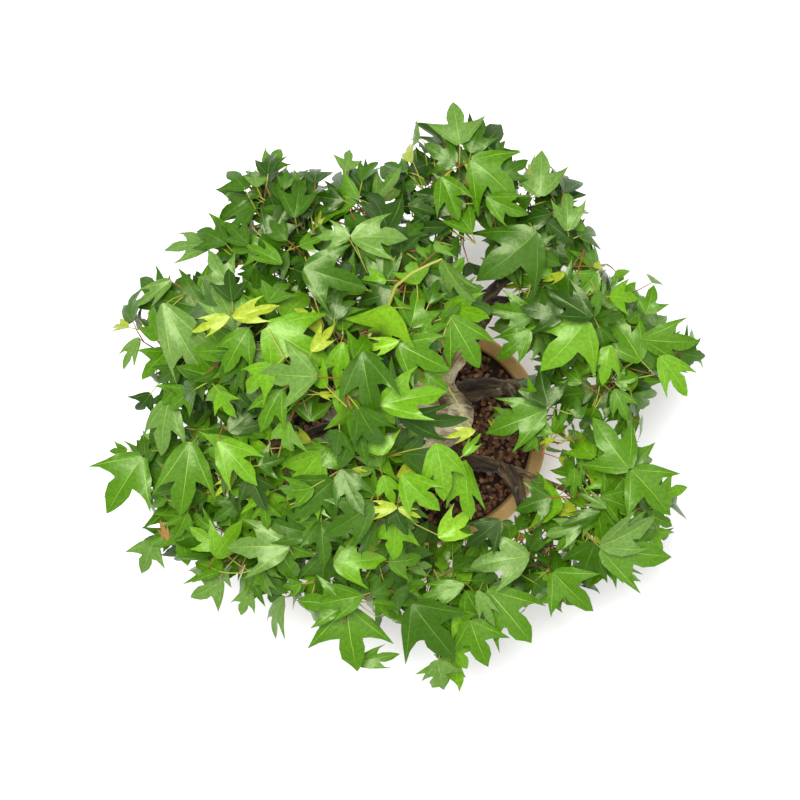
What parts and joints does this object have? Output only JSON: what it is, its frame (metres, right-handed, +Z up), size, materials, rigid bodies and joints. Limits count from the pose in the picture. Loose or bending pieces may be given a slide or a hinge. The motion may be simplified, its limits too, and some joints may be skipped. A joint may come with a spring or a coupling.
{
  "type": "potted trident maple bonsai",
  "caption": "Small tree with an S-curved trunk, spreading boughs and a full crown of three-lobed leaves in an oval unglazed clay pot.",
  "frame": {"origin": "middle of the pot's flat underside", "axes": "+X along the pot's long side, to the right in the picture; +Y to the back, the picture's top; +Z up"},
  "size_m": [0.4606, 0.4276, 0.3585],
  "materials": {
    "pot_clay": "matt unglazed",
    "soil": "loose baked-clay granules",
    "bark": "flaking grey bark",
    "bough_bark": "dark mossy bark",
    "leaf_green": "glossy green leaves"
  },
  "bodies": {
    "root": {"pot": "pot_clay", "soil": "soil", "trunk": "bark", "bough_top_east": "bough_bark", "bough_top_west": "bough_bark", "bough_top_south": "bough_bark", "bough_west_high": "bough_bark", "bough_northwest": "bough_bark", "bough_west": "bough_bark", "bough_southwest": "bough_bark", "bough_front": "bough_bark", "bough_south": "bough_bark", "bough_southeast": "bough_bark", "bough_south_low": "bough_bark", "bough_east": "bough_bark", "bough_inner_east": "bough_bark", "bough_north": "bough_bark", "bough_northeast": "bough_bark", "bough_north_right": "bough_bark", "bough_back": "bough_bark", "bough_back_left": "bough_bark", "leaves_apex": "leaf_green", "leaves_top_east": "leaf_green", "leaves_top_west": "leaf_green", "leaves_top_south": "leaf_green", "leaves_west_high": "leaf_green", "leaves_northwest": "leaf_green", "leaves_west": "leaf_green", "leaves_southwest": "leaf_green", "leaves_front": "leaf_green", "leaves_south": "leaf_green", "leaves_southeast": "leaf_green", "leaves_south_low": "leaf_green", "leaves_east": "leaf_green", "leaves_inner_east": "leaf_green", "leaves_north": "leaf_green", "leaves_northeast": "leaf_green", "leaves_north_right": "leaf_green", "leaves_back": "leaf_green", "leaves_back_left": "leaf_green"}
  },
  "joints": []
}
